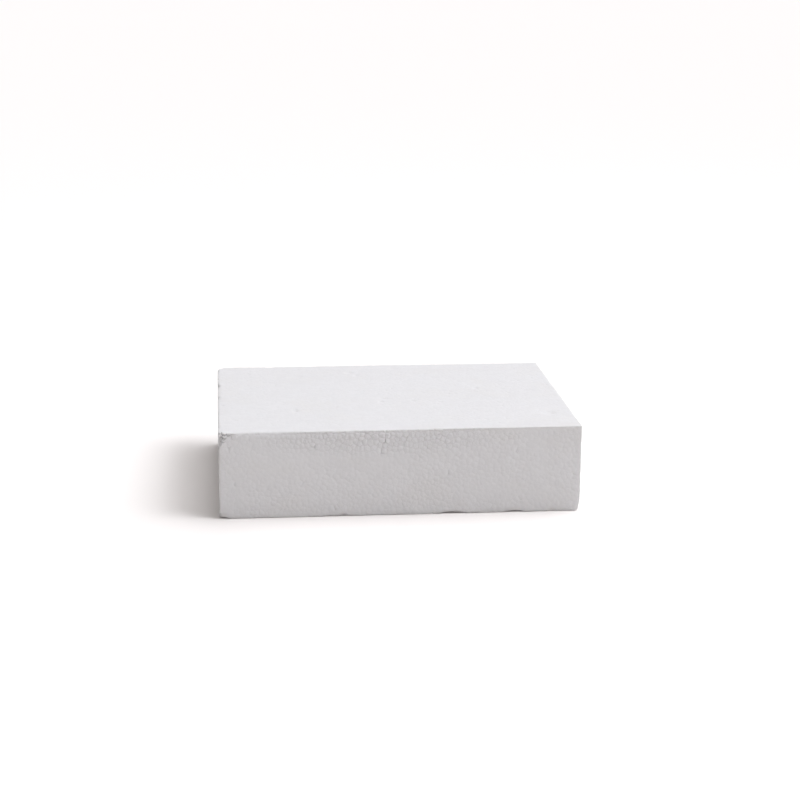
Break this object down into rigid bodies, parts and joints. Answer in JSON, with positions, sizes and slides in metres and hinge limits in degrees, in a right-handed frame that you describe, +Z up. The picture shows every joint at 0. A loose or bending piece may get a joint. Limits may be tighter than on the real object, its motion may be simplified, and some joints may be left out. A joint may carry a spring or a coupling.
{
  "type": "floral foam brick",
  "caption": "Low rectangular block of rigid white bead foam with eased edges, set under an arrangement to hold dry or artificial stems.",
  "frame": {"origin": "middle of the bottom face, on the surface that the brick rests on", "axes": "+X along the length towards the right end, -Y out of the long front side, +Z up through the height"},
  "size_m": [0.2, 0.15, 0.049],
  "materials": {
    "foam": "matte"
  },
  "bodies": {
    "root": {"foam_brick": "foam"}
  },
  "joints": []
}
